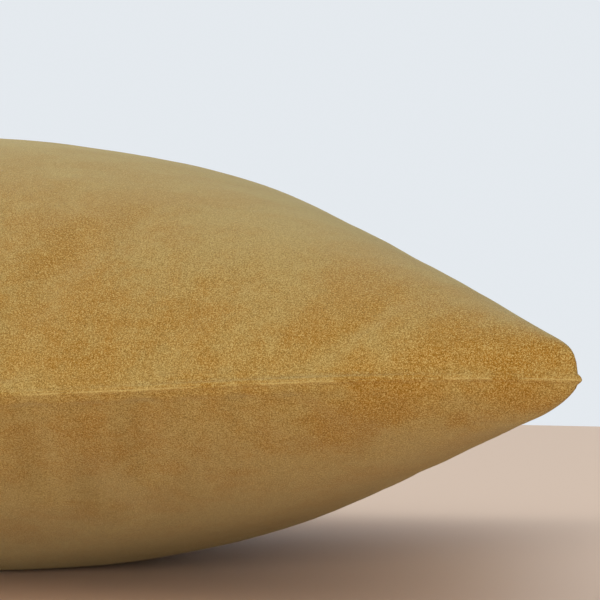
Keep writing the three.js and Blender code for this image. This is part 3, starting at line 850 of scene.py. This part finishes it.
def side_ends(node, side):
    """Where a frame piece starts and ends along its side, as s or t."""
    axis = 0 if side in ("front", "back") else 1
    low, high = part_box(node)
    stations = np.linspace(-1, 1, SIDE_STATIONS)
    reach = plan(*on_side(side, stations), ALLOWANCE)[axis]
    return np.interp([low[axis], high[axis]], reach, stations)


def overlock_runs(prefix, node_prefix, runs, edge, stack, bite):
    """The overlocked edges of one bag, each with the frame piece that it stands for."""
    made = []
    for run in runs:
        side = run.split("_")[0]
        node = node_prefix + run
        start, end = side_ends(node, side)
        made.append((overlocked(prefix + run, side, start, end, edge, stack, bite), node))
    return made


COVER_RUNS = ("front", "left", "right", "back_left", "back_right")
COTTON_RUNS = ("front", "back", "left", "right")
CASING_RAW = CASING_EDGE + CASING_ALLOWANCE
cover_threads = overlock_runs(
    "cover_overlock_", "overlock_", COVER_RUNS, ALLOWANCE, COVER_STACK, COVER_BITE
)
insert_threads = overlock_runs(
    "cotton_overlock_", "insert_overlock_", COTTON_RUNS, CASING_RAW, CASING_STACK, CASING_BITE
)
print("overlocked edges:", len(cover_threads), "on the cover,", len(insert_threads), "on the insert")

# %% [markdown]
# ## Labels
# A care label is caught in the cover's left seam and another in the insert's. Both are blank satin
# ribbon. Each follows its own line in from the seam, half way between the velvet and the cotton, and
# waves by a fraction of a millimetre, as a loose ribbon does. They are thin sheets, made in code from
# the same layers as the pieces that they lie between.

# %% Labels
RIBBON = 0.24 * MM
RIBBON_ROWS = 24
RIBBON_WAVE = 0.06 * MM
RIBBON_WAVE_RATE = 90
CARE_CLEAR = 0.5 * MM
CARE_START = 0.8 * MM
CARE_SPAN = (0.22, 0.4)
CARE_RUNS = np.linspace(-5.8, 22.6, 14) * MM
INSERT_SPAN = (-0.36, -0.2)
INSERT_PLACES = np.linspace(-0.95, -0.88, 8)


def mid_gap(side, s, t, plump):
    velvet = layer(side, s, t, SEAM_THICKNESS, COVER_STACK + VELVET_ROOM, VELVET_WALL, borrowed(plump, s, t))
    shift = inside_cover(plump, s, t, CASING_EDGE)
    cotton = layer(side, s, t, CASING_EDGE, TOUCH / 2 + CASING_RISE, CASING_DEPTH, shift)
    return (velvet + cotton) / 2


def ribbon(name, columns, span):
    """A closed thin strip from columns of points, with its own flat coordinates for the weave."""
    t = np.linspace(*span, RIBBON_ROWS + 1)
    middle = np.stack([column(t) for column in columns])
    count, rows = middle.shape[:2]
    run = np.gradient(middle, axis=0)
    across = np.gradient(middle, axis=1)
    out = np.cross(run, across)
    out /= np.linalg.norm(out, axis=2)[..., None]
    wave = RIBBON_WAVE * np.sin(t * RIBBON_WAVE_RATE)[None, :, None] * np.linspace(0, 1, count)[:, None, None]
    number = numbered(count, rows)
    edge = np.concatenate([number[:, 0], number[-1, 1:], number[-2::-1, -1], number[0, -2:0:-1]])
    faces = grid_faces(number) + grid_faces(number + number.size, flip=True)
    faces += grid_faces(np.stack([edge, edge + number.size]), closed=True)
    points = np.concatenate([middle + out * (wave + RIBBON / 2), middle + out * (wave - RIBBON / 2)])
    thing = closed_mesh(name, points.reshape(-1, 3), faces)
    along = np.cumsum(np.linalg.norm(np.diff(middle, axis=0, prepend=middle[:1]), axis=2).mean(axis=1))
    wide = np.cumsum(np.linalg.norm(np.diff(middle, axis=1, prepend=middle[:, :1]), axis=2).mean(axis=0))
    flat = np.zeros((2, count, rows, 3), np.float32)
    flat[..., 0] = along[None, :, None]
    flat[..., 1] = wide[None, None, :]
    attribute = thing.data.attributes.new("flat", "FLOAT_VECTOR", "POINT")
    attribute.data.foreach_set("vector", flat.reshape(-1))
    print(f"{name}: {wide[-1] / MM:.1f} by {along[-1] / MM:.1f} mm")
    return thing, (float(wide[-1]), float(along[-1]))


care_height = COVER_STACK + TOUCH + CARE_CLEAR + TOUCH + RIBBON
care_columns = [
    lambda t: beside_seam(-np.ones_like(t), t, ALLOWANCE - COVER_BITE, care_height),
    lambda t: beside_seam(-np.ones_like(t), t, ALLOWANCE + CARE_START, care_height),
]
for run in CARE_RUNS:
    place = (ALLOWANCE + run) / HALF - 1
    care_columns.append(lambda t, place=place: mid_gap(1, np.full_like(t, place), t, plump_above))
care_ribbon, care_cut = ribbon("care_ribbon", care_columns, CARE_SPAN)

label_drop = TOUCH / 2 + CASING_RISE + TOUCH + RIBBON
label_columns = [lambda t: beside_seam(-np.ones_like(t), t, CASING_EDGE + CASING_SHOULDER, -label_drop)]
for place in INSERT_PLACES:
    label_columns.append(lambda t, place=place: mid_gap(-1, np.full_like(t, place), t, plump_below))
insert_ribbon, insert_cut = ribbon("insert_ribbon", label_columns, INSERT_SPAN)

# %% [markdown]
# ## The zip
# The zip is the coil kind. Its two woven tapes are narrow strips, each made from a block whose edges
# are rounded a little. Each coil is one nylon thread wound in a flattened spiral: a small circle,
# swept round by the Screw modifier once for each turn, squashed to the coil's height, with its two
# open ends filled. Stops are small pinched blocks of metal.

# %% Tapes, coils and stops
def rounded_block(name, node, rounding, segments=2):
    """A block of the size and place of a frame piece, with rounded edges."""
    low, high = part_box(node)
    bpy.ops.object.select_all(action="DESELECT")
    bpy.ops.mesh.primitive_cube_add(size=1, location=(low + high) / 2)
    block = bpy.context.active_object
    block.name = name
    block.scale = high - low
    bpy.ops.object.transform_apply(location=True, rotation=True, scale=True)
    bpy.ops.object.mode_set(mode="EDIT")
    bpy.ops.mesh.select_all(action="SELECT")
    bpy.ops.mesh.bevel(offset=rounding, segments=segments, affect="EDGES")
    bpy.ops.object.mode_set(mode="OBJECT")
    bpy.ops.object.shade_smooth_by_angle(angle=math.radians(30))
    return block


COIL_PITCH = 1.3 * MM
COIL_THREAD = 0.3 * MM
COIL_STEPS = 12


def zip_coil(name, node):
    low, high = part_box(node)
    size = high - low
    turns = int((size.x - 2 * COIL_THREAD) / COIL_PITCH)
    reach = size.y / 2 - COIL_THREAD
    bpy.ops.object.select_all(action="DESELECT")
    bpy.ops.mesh.primitive_circle_add(vertices=6, radius=COIL_THREAD, location=(0, 0, 0))
    coil = bpy.context.active_object
    coil.name = name
    bpy.ops.object.mode_set(mode="EDIT")
    bpy.ops.mesh.select_all(action="SELECT")
    bpy.ops.transform.translate(value=(0, reach, 0))
    bpy.ops.object.mode_set(mode="OBJECT")
    screw = coil.modifiers.new("screw", "SCREW")
    screw.axis = "X"
    screw.screw_offset = COIL_PITCH
    screw.iterations = turns
    screw.steps = COIL_STEPS
    screw.render_steps = COIL_STEPS
    bpy.ops.object.modifier_apply(modifier=screw.name)
    bpy.ops.object.mode_set(mode="EDIT")
    bpy.ops.mesh.select_all(action="SELECT")
    bpy.ops.mesh.remove_doubles(threshold=1e-6)
    bpy.ops.mesh.fill_holes(sides=12)
    bpy.ops.mesh.select_all(action="SELECT")
    bpy.ops.mesh.normals_make_consistent(inside=False)
    bpy.ops.object.mode_set(mode="OBJECT")
    coil.scale = (1, 1, size.z / size.y)
    middle = (low + high) / 2
    coil.location = (middle.x - turns * COIL_PITCH / 2, middle.y, middle.z)
    bpy.ops.object.transform_apply(location=True, rotation=True, scale=True)
    bpy.ops.object.shade_smooth_by_angle(angle=math.radians(70))
    print(name, turns, "turns")
    return coil


TAPE_ROUNDING = 0.1 * MM
STOP_ROUNDING = 0.25 * MM
tapes = []
coils = []
stops = []
for level in ("upper", "lower"):
    node = "zip_tape_" + level
    tapes.append((rounded_block("tape_" + level, node, TAPE_ROUNDING), node))
    node = "zip_coil_" + level
    coils.append((zip_coil("coil_" + level, node), node))
    node = "zip_top_stop_" + level
    stops.append((rounded_block("top_stop_" + level, node, STOP_ROUNDING, 3), node))
stops.append((rounded_block("bottom_stop", "zip_bottom_stop", STOP_ROUNDING, 3), "zip_bottom_stop"))

# %% [markdown]
# Past each end of the coils the two tapes are held together by a bar tack: thread sewn back and forth
# many times in the same few millimetres. It is a cord that zigzags from one tape to the other.

# %% Bar tacks
TACK_PASSES = 16


def bar_tack(name, node):
    low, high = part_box(node)
    inner_low = low + Vector((1, 1, 1)) * THREAD_RADIUS
    inner_high = high - Vector((1, 1, 1)) * THREAD_RADIUS
    path = []
    for k in range(TACK_PASSES + 1):
        y = inner_low.y + (inner_high.y - inner_low.y) * k / TACK_PASSES
        x = inner_low.x if k % 2 else inner_high.x
        first, second = (inner_low.z, inner_high.z) if k % 2 else (inner_high.z, inner_low.z)
        middle = (inner_low.x + inner_high.x) / 2
        path += [(x, y, first), (x, y, second), (middle, y, second)]
    return cord(name, [np.array(path)])


tacks = []
for end in ("left", "right"):
    node = "zip_end_tack_" + end
    tacks.append((bar_tack("bar_tack_" + end, node), node))

# %% [markdown]
# The slider is a cast body that runs on the coils, with a bridge outside the folds, and the pull is a
# flat tab with a window. Both are die-cast and tumbled, so no edge is sharp. Their shapes are right in
# the frame, so each is a copy of the frame's own mesh, merged, with its edges rounded by the Bevel
# modifier, which leaves the flat faces as they are.

# %% Slider and pull
def tumbled(name, node, rounding):
    bpy.ops.object.select_all(action="DESELECT")
    source = frame["nodes"][node]
    thing = bpy.data.objects.new(name, source.data.copy())
    bpy.context.scene.collection.objects.link(thing)
    thing.data.materials.clear()
    bpy.context.view_layer.objects.active = thing
    thing.select_set(True)
    bpy.ops.object.mode_set(mode="EDIT")
    bpy.ops.mesh.select_all(action="SELECT")
    bpy.ops.mesh.remove_doubles(threshold=1e-6)
    bpy.ops.mesh.normals_make_consistent(inside=False)
    bpy.ops.object.mode_set(mode="OBJECT")
    bevel = thing.modifiers.new("rounding", "BEVEL")
    bevel.width = rounding
    bevel.segments = 3
    bevel.limit_method = "ANGLE"
    bevel.angle_limit = math.radians(25)
    bpy.ops.object.modifier_apply(modifier=bevel.name)
    bpy.ops.object.shade_smooth_by_angle(angle=math.radians(40))
    print(name, len(thing.data.polygons), "faces")
    return thing


slider = tumbled("slider_body", "zip_slider", 0.12 * MM)
pull_tab = tumbled("pull_tab", "zip_pull", 0.18 * MM)

# %% [markdown]
# ## Finishes of the other pieces
# Cotton, tape and satin are all woven, so they share one weave: two sets of threads cross, and each
# goes over the other in turn, and the low places of the weave are painted darker as painted shade. The
# thread is twisted, which shows as fine slanting stripes of relief, painted darker in their grooves. The
# zip's metal has a brass-coloured lacquer, rubbed and faintly scratched.

# %% Weave group
def weave_group():
    group, given, leave = new_group("weave", {"Spacing": 0.0006}, ["Height", "Over"])
    apart = new_node(group, "SeparateXYZ", Vector=given["Vector"]).outputs
    rate = math_node(group, "DIVIDE", math.pi, given["Spacing"])
    first = math_node(group, "SINE", math_node(group, "MULTIPLY", apart["X"], rate))
    second = math_node(group, "SINE", math_node(group, "MULTIPLY", apart["Y"], rate))
    over = math_node(group, "GREATER_THAN", math_node(group, "MULTIPLY", first, second), 0.0)
    under = math_node(group, "SUBTRACT", 1.0, over)
    warp = math_node(group, "MULTIPLY", math_node(group, "ABSOLUTE", first), over)
    weft = math_node(group, "MULTIPLY", math_node(group, "ABSOLUTE", second), under)
    feed_all(group, leave, Height=math_node(group, "ADD", warp, weft), Over=over)
    return group


weave = weave_group()


# %% Woven, thread, fibre, nylon and metal finishes
def woven_material(name, dark, light, spacing, roughness, relief, flat=False, sheen=0.1):
    material, tree, shader, place = new_material(name, roughness)
    if flat:
        place = stored(tree, "flat")["Vector"]
    threads = place_group(tree, weave, Vector=place, Spacing=spacing)
    patches = place_group(tree, brushed_patches, Vector=place, Scale=60.0, Wander=0.01, Sharpness=2.0)
    # Painted shade: the weave's low places between threads are darker. The brushed patches add tone at
    # random.
    tone = math_node(tree, "MULTIPLY", threads["Height"], 0.7)
    tone = math_node(tree, "MULTIPLY_ADD", patches[0], 0.3, tone)
    raise_surface(tree, shader, threads["Height"], relief)
    feed_all(tree, shader, Base_Color=mix_colours(tree, tone, dark, light))
    feed_all(tree, shader, Sheen_Weight=sheen, Specular_IOR_Level=0.3)
    return material


def twisted_material(name, dark, light):
    """Thread: stripes that slant across it, from the twist of its plies, as relief and as painted shade in
    the grooves.
    """
    material, tree, shader, place = new_material(name, 0.7)
    wave = new_node(tree, "TexWave", Vector=place, Scale=450.0, Distortion=1.5)
    wave.bands_direction = "DIAGONAL"
    # The stripes darken the colour in the grooves of the twist as painted shade, and also raise the relief.
    stripes = wave.outputs["Fac"]
    raise_surface(tree, shader, stripes, 0.08 * MM)
    feed_all(tree, shader, Base_Color=mix_colours(tree, stripes, dark, light), Sheen_Weight=0.15)
    return material


def fibre_material():
    material, tree, shader, place = new_material("white_fibre", 1.0)
    wool = place_group(tree, fibre_grain, Vector=place, Scale=420.0)
    clumps = place_group(tree, brushed_patches, Vector=place, Scale=45.0, Wander=0.03, Sharpness=2.4)
    tone = math_node(tree, "MULTIPLY", wool["Grain"], 0.5)
    tone = math_node(tree, "MULTIPLY_ADD", clumps[0], 0.5, tone)
    colour = mix_colours(tree, tone, (0.70, 0.69, 0.66), (0.90, 0.90, 0.88))
    raise_surface(tree, shader, wool["Height"], 1.5 * MM)
    feed_all(tree, shader, Base_Color=colour, Sheen_Weight=0.2)
    return material


def nylon_material():
    material, tree, shader, place = new_material("dyed_nylon", 0.4)
    dye = place_group(tree, brushed_patches, Vector=place, Scale=120.0, Wander=0.01, Sharpness=2.0)
    colour = mix_colours(tree, dye[0], (0.30, 0.185, 0.065), (0.38, 0.245, 0.095))
    rough = math_node(tree, "MULTIPLY_ADD", dye[0], 0.12, 0.33)
    feed_all(tree, shader, Base_Color=colour, Roughness=rough)
    return material


def metal_material():
    material, tree, shader, place = new_material("lacquered_zinc", 0.3, 1.0)
    worn = place_group(tree, brushed_patches, Vector=place, Scale=500.0, Wander=0.002, Sharpness=3.0)
    stretched = new_node(tree, "Mapping", Vector=place, Scale=(0.06, 1.0, 1.0))
    scratches = noise_node(tree, stretched.outputs[0], 9000.0, 2.0, 0.6)
    lines = ramp_node(tree, scratches, 0.62, 0.72)
    colour = mix_colours(tree, worn[0], (0.62, 0.43, 0.19), (0.74, 0.56, 0.30))
    colour = mix_colours(tree, math_node(tree, "MULTIPLY", lines, 0.4), colour, (0.80, 0.74, 0.62))
    rough = math_node(tree, "MULTIPLY_ADD", worn[0], 0.18, 0.24)
    rough = math_node(tree, "MULTIPLY_ADD", lines, 0.1, rough)
    feed_all(tree, shader, Base_Color=colour, Roughness=rough)
    raise_surface(tree, shader, scratches, 0.02 * MM, 0.4)
    return material


COTTON = ((0.62, 0.60, 0.56), (0.86, 0.85, 0.81))
TAPE = ((0.22, 0.13, 0.04), (0.42, 0.275, 0.11))
SATIN = ((0.74, 0.73, 0.69), (0.90, 0.89, 0.86))
cotton_cloth = woven_material("white_cotton", *COTTON, 0.5 * MM, 0.9, 0.15 * MM)
mustard_tape = woven_material("mustard_tape", *TAPE, 0.45 * MM, 0.8, 0.12 * MM)
ribbon_satin = woven_material("blank_satin", *SATIN, 0.22 * MM, 0.38, 0.03 * MM, flat=True, sheen=0.4)
mustard_thread = twisted_material("mustard_thread", (0.26, 0.15, 0.04), (0.47, 0.30, 0.11))
white_thread = twisted_material("white_thread", (0.66, 0.65, 0.61), (0.90, 0.89, 0.86))
fibre_wool = fibre_material()
dyed_nylon = nylon_material()
lacquered_zinc = metal_material()

# %% [markdown]
# Each piece now gets its finish, the body that it moves with, and the frame's plain piece that it
# stands for. The slider and the pull have bodies of their own.
# Everything else belongs to the cushion.

# %% Place the pieces in the frame
def hand_over(piece, node, material, slot_name, body="cushion"):
    piece.data.materials.clear()
    piece.data.materials.append(material)
    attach(piece, body)
    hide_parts(node)


shared_finishes = [
    (cover_threads + tacks, mustard_thread, "cover_thread"),
    (insert_threads, white_thread, "insert_thread"),
    (tapes, mustard_tape, "zip_tape"),
    (coils, dyed_nylon, "zip_coil"),
    (stops, lacquered_zinc, "zip_metal"),
]
for pieces, material, slot_name in shared_finishes:
    for piece, node in pieces:
        hand_over(piece, node, material, slot_name)
hand_over(slider, "zip_slider", lacquered_zinc, "zip_metal", "slider")
hand_over(pull_tab, "zip_pull", lacquered_zinc, "zip_metal", "pull")
hand_over(cotton_top, "insert_casing_top", cotton_cloth, "insert_cotton")
hand_over(cotton_bottom, "insert_casing_bottom", cotton_cloth, "insert_cotton")
hand_over(filling, "insert_fill", fibre_wool, "fibre_fill")
hand_over(care_ribbon, "care_label", ribbon_satin, "label_satin")
hand_over(insert_ribbon, "insert_label", ribbon_satin, "label_satin")

# %% [markdown]
# ## Floor, light and camera
# The pillow lies on a plain pale tabletop whose far edge shows behind it, against an even pale
# backdrop that gives most of the light. A weak soft light stands above and to the left. A stronger one
# stands far in front and low, so that it reaches under the bulge below the seam. The camera is low and
# looks at the front right corner from a little above the seam.

# %% Stage
bpy.ops.object.select_all(action="DESELECT")
TABLE_DEPTH = 4.0
TABLE_FAR_EDGE = 1.22
TABLE_COLOUR = (0.76, 0.55, 0.40)
BACKDROP_COLOUR = (0.78, 0.82, 0.86)
LIGHT_AIM = Vector((0, 0, 0.08))
WINDOW = ((-0.9, -0.5, 1.5), 1.4, 4.5, (1.0, 0.97, 0.93))
ROOM = ((-0.9, -3.2, 0.15), 0.9, 100, (1.0, 0.97, 0.92))
bpy.ops.mesh.primitive_plane_add(size=TABLE_DEPTH, location=(0, TABLE_FAR_EDGE - TABLE_DEPTH / 2, 0))
table = bpy.context.active_object
table.name = "tabletop"
bpy.ops.object.transform_apply(location=True, rotation=True, scale=True)
table_paint, table_tree, table_shader, _ = new_material("pale_tabletop", 0.6)
feed_all(table_tree, table_shader, Base_Color=TABLE_COLOUR)
table.data.materials.append(table_paint)

world = bpy.data.worlds.new("backdrop")
world.use_nodes = True
backdrop = world.node_tree.nodes["Background"]
feed_all(world.node_tree, backdrop, Color=BACKDROP_COLOUR, Strength=1.0)
bpy.context.scene.world = world
bpy.context.scene.view_settings.view_transform = "Standard"


def soft_light(name, place, size, energy, colour):
    bpy.ops.object.light_add(type="AREA", location=place)
    light = bpy.context.active_object
    light.name = name
    light.data.size = size
    light.data.energy = energy
    light.data.color = colour
    toward = LIGHT_AIM - light.location
    light.rotation_euler = toward.to_track_quat("-Z", "Y").to_euler()


soft_light("window_above", *WINDOW)
soft_light("room_in_front", *ROOM)

# %% Camera
CAMERA_PLACE = (0.2204, -1.2822, 0.1161)
CAMERA_AIM = Vector((-0.0618, 0.998, -0.009))
CAMERA_ROLL = 0.0173
CAMERA_LENS = 193.8
CAMERA_SENSOR = 36
bpy.ops.object.camera_add(location=CAMERA_PLACE)
camera = bpy.context.active_object
camera.name = "camera"
camera.data.sensor_width = CAMERA_SENSOR
camera.data.lens = CAMERA_LENS
camera.data.clip_start = 0.02
camera.rotation_mode = "QUATERNION"
camera.rotation_quaternion = CAMERA_AIM.to_track_quat("-Z", "Y")
camera.rotation_quaternion @= Quaternion((0, 0, 1), CAMERA_ROLL)
bpy.context.scene.camera = camera
